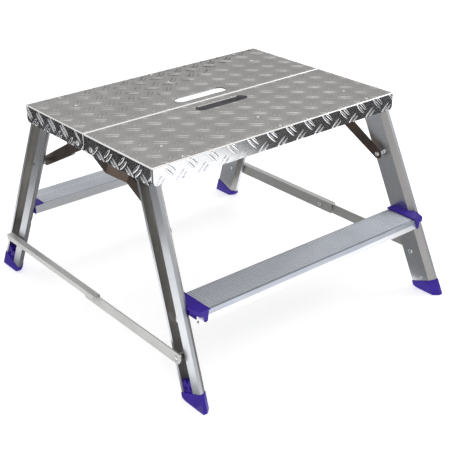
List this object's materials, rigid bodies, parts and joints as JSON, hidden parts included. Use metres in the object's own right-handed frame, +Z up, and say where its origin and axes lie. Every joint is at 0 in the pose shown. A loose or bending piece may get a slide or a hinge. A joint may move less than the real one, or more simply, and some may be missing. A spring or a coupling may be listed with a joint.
{
  "type": "folding step platform",
  "caption": "Low folding work platform: a split tread-plate top on two splayed leg frames, each with a ribbed step, with steel struts and folding side spreaders.",
  "frame": {"origin": "on the floor, under the middle of the seam between the two halves of the top", "axes": "+X along the steps to the right as seen from the front, +Y to the back step, +Z up"},
  "size_m": [0.7968, 0.8976, 0.5],
  "materials": {
    "tread_plate": "satin rolled sheet with a raised five-bar pattern",
    "stiffener": "satin",
    "stile": "satin extruded",
    "tread": "satin extruded, ribbed lengthwise",
    "spreader": "matte",
    "boss": "matte",
    "spacer": "zinc plated",
    "rivet": "zinc plated, domed",
    "strut": "dark plated flat bar",
    "link_plate": "dark plated",
    "foot": "purple moulded plastic, fine grain",
    "tread_cap": "purple moulded plastic"
  },
  "bodies": {
    "leg_frame_back": {"stile_back_left": "stile", "stile_back_right": "stile", "foot_back_left": "foot", "foot_back_right": "foot", "foot_rivet_back_left": "rivet", "foot_rivet_back_right": "rivet", "tread_cap_back_left": "tread_cap", "tread_cap_back_right": "tread_cap", "strut_rivet_back_left": "rivet", "strut_rivet_back_right": "rivet", "strut_spacer_back_left": "spacer", "strut_spacer_back_right": "spacer", "spreader_boss_back_left": "boss", "spreader_boss_back_right": "boss", "tread_back": "tread", "spreader_end_rivet_back_left": "rivet", "spreader_end_rivet_back_right": "rivet"},
    "struts_back": {"strut_back_left": "strut", "strut_back_right": "strut"},
    "platform_back_half": {"platform_back": "tread_plate", "platform_stiffener_back": "stiffener", "top_pivot_pin_back_left": "rivet", "top_pivot_pin_back_right": "rivet"},
    "leg_frame_front": {"stile_front_left": "stile", "stile_front_right": "stile", "foot_front_left": "foot", "foot_front_right": "foot", "foot_rivet_front_left": "rivet", "foot_rivet_front_right": "rivet", "tread_cap_front_left": "tread_cap", "tread_cap_front_right": "tread_cap", "strut_rivet_front_left": "rivet", "strut_rivet_front_right": "rivet", "strut_spacer_front_left": "spacer", "strut_spacer_front_right": "spacer", "spreader_boss_front_left": "boss", "spreader_boss_front_right": "boss", "tread_front": "tread"},
    "struts_front": {"strut_front_left": "strut", "strut_front_right": "strut"},
    "platform_front_half": {"platform_front": "tread_plate", "platform_stiffener_front": "stiffener", "top_pivot_pin_front_left": "rivet", "top_pivot_pin_front_right": "rivet"},
    "hinge_links": {"link_plate_left": "link_plate", "link_plate_right": "link_plate"},
    "spreader_channels": {"spreader_channel_left": "spreader", "spreader_channel_right": "spreader", "spreader_middle_rivet_left": "rivet", "spreader_middle_rivet_right": "rivet"},
    "spreader_bars": {"spreader_bar_left": "spreader", "spreader_bar_right": "spreader", "spreader_end_rivet_front_left": "rivet", "spreader_end_rivet_front_right": "rivet"}
  },
  "joints": [
    {"name": "frame_fold", "type": "hinge", "parent": "leg_frame_back", "child": "struts_back", "pos_m": [0, 0.257, 0.346], "axis": [-1, 0, 0], "range_deg": [0, 34.6]},
    {"name": "back_link_swing", "type": "hinge", "parent": "struts_back", "child": "hinge_links", "pos_m": [0, 0.028, 0.47], "axis": [1, 0, 0], "range_deg": [0, 56]},
    {"name": "front_strut_swing", "type": "hinge", "parent": "hinge_links", "child": "struts_front", "pos_m": [0, -0.028, 0.47], "axis": [1, 0, 0], "range_deg": [0, 56]},
    {"name": "front_leg_swing", "type": "hinge", "parent": "struts_front", "child": "leg_frame_front", "pos_m": [0, -0.257, 0.346], "axis": [-1, 0, 0], "range_deg": [0, 34.6]},
    {"name": "platform_back_tilt", "type": "hinge", "parent": "hinge_links", "child": "platform_back_half", "pos_m": [0, 0.028, 0.47], "axis": [-1, 0, 0], "range_deg": [0, 60]},
    {"name": "platform_front_tilt", "type": "hinge", "parent": "hinge_links", "child": "platform_front_half", "pos_m": [0, -0.028, 0.47], "axis": [1, 0, 0], "range_deg": [0, 60]},
    {"name": "spreader_channel_swing", "type": "hinge", "parent": "leg_frame_back", "child": "spreader_channels", "pos_m": [0, 0.359, 0.1], "axis": [-1, 0, 0], "range_deg": [0, 59.24]},
    {"name": "spreader_bar_swing", "type": "hinge", "parent": "spreader_channels", "child": "spreader_bars", "pos_m": [0, 0, 0.1], "axis": [1, 0, 0], "range_deg": [0, 161.28]}
  ],
  "couplings": [
    {"joint": "back_link_swing", "follows": "frame_fold", "ratio": 1.6185},
    {"joint": "front_strut_swing", "follows": "frame_fold", "ratio": 1.6185},
    {"joint": "front_leg_swing", "follows": "frame_fold", "ratio": 1},
    {"joint": "platform_back_tilt", "follows": "frame_fold", "ratio": 1.7341},
    {"joint": "platform_front_tilt", "follows": "frame_fold", "ratio": 1.7341},
    {"joint": "spreader_channel_swing", "follows": "frame_fold", "ratio": 1.7121},
    {"joint": "spreader_bar_swing", "follows": "frame_fold", "ratio": 4.6613}
  ]
}
